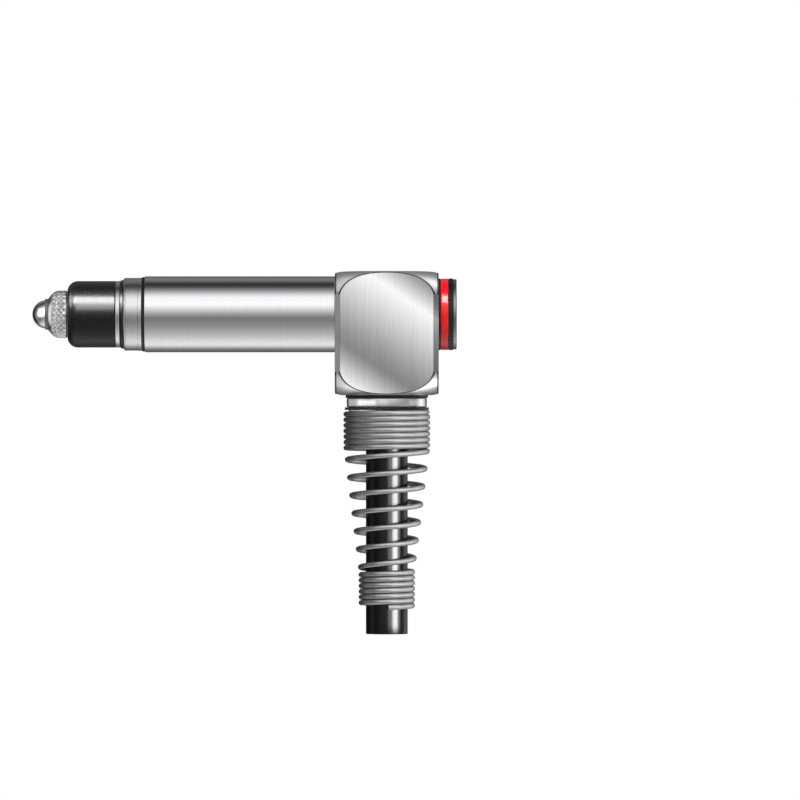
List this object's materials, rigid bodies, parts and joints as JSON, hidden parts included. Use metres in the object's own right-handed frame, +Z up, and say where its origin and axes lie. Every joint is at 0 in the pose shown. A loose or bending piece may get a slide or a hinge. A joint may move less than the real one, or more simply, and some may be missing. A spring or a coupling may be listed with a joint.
{
  "type": "linear gauge probe",
  "caption": "Pencil gauging probe with a spring-loaded ball-guided contact, rubber gaiter, clamp stem and a right-angle cable outlet with a coiled strain relief.",
  "frame": {"origin": "middle of the bare clamp stem, on its axis", "axes": "X along the probe with the contact ball towards -X, +Z up, the cable leaving along -Z"},
  "size_m": [0.0446, 0.011, 0.0381],
  "materials": {
    "carbide": "polished tungsten carbide",
    "knurled_steel": "bright nickel-plated steel, diamond knurl",
    "hardened_steel": "hardened and ground",
    "nickel_iron": "annealed nickel iron",
    "brass": "turned",
    "black_rubber": "moulded, glossy",
    "satin_steel": "turned stainless steel",
    "seal_rubber": "moulded, satin",
    "ground_steel": "centreless-ground stainless steel",
    "spring_steel": "drawn stainless wire",
    "bobbin_plastic": "moulded",
    "copper_wire": "enamelled copper wire",
    "board": "glass-epoxy laminate",
    "solder": "reflowed tin solder",
    "brushed_block_steel": "stainless steel brushed along its height",
    "red_plastic": "moulded, glossy",
    "cable_plastic": "extruded polyurethane",
    "tinned_braid": "tinned copper braid",
    "core_red": "extruded insulation",
    "core_white": "extruded insulation",
    "core_green": "extruded insulation",
    "core_yellow": "extruded insulation"
  },
  "bodies": {
    "housing": {"guide_race": "hardened_steel", "gaiter": "black_rubber", "gaiter_clamp_ring": "satin_steel", "front_bush": "satin_steel", "front_seal_ring": "seal_rubber", "stem_tube": "ground_steel", "key_sleeve": "hardened_steel", "return_spring": "spring_steel", "spring_seat": "satin_steel", "coil_bobbin": "bobbin_plastic", "secondary_coil_front": "copper_wire", "primary_coil": "copper_wire", "secondary_coil_rear": "copper_wire", "shield_sleeve": "nickel_iron", "terminal_pins": "brass", "terminal_board": "board", "solder_joints": "solder", "outlet_block": "brushed_block_steel", "rear_plug": "satin_steel", "rear_seal_ring_inner": "seal_rubber", "marker_ring": "red_plastic", "rear_seal_ring_outer": "seal_rubber", "gland_body": "satin_steel", "collar_seal": "seal_rubber", "gland_seal": "seal_rubber", "gland_washer": "satin_steel", "cable_ferrule": "brass", "strain_relief_spring": "spring_steel", "cable_jacket": "cable_plastic", "cable_braid": "tinned_braid", "core_conductors": "copper_wire", "core_wire_1": "core_red", "core_wire_2": "core_white", "core_wire_3": "core_green", "core_wire_4": "core_yellow"},
    "plunger": {"contact_ball": "carbide", "contact_holder": "knurled_steel", "plunger_shaft": "hardened_steel", "guide_pin": "hardened_steel", "core_rod": "hardened_steel", "magnetic_core": "nickel_iron", "core_nut": "brass"},
    "cage": {"guide_balls": "hardened_steel", "ball_cage": "brass"}
  },
  "joints": [
    {"name": "plunger_slide", "type": "slide", "parent": "housing", "child": "plunger", "axis": [1, 0, 0], "range_m": [0, 0.002], "stiffness_N_per_m": 120, "springref_m": -0.005, "deforming": ["gaiter", "return_spring"]},
    {"name": "cage_slide", "type": "slide", "parent": "housing", "child": "cage", "axis": [1, 0, 0], "range_m": [0, 0.001]}
  ],
  "couplings": [
    {"joint": "cage_slide", "follows": "plunger_slide", "ratio": 0.5}
  ]
}
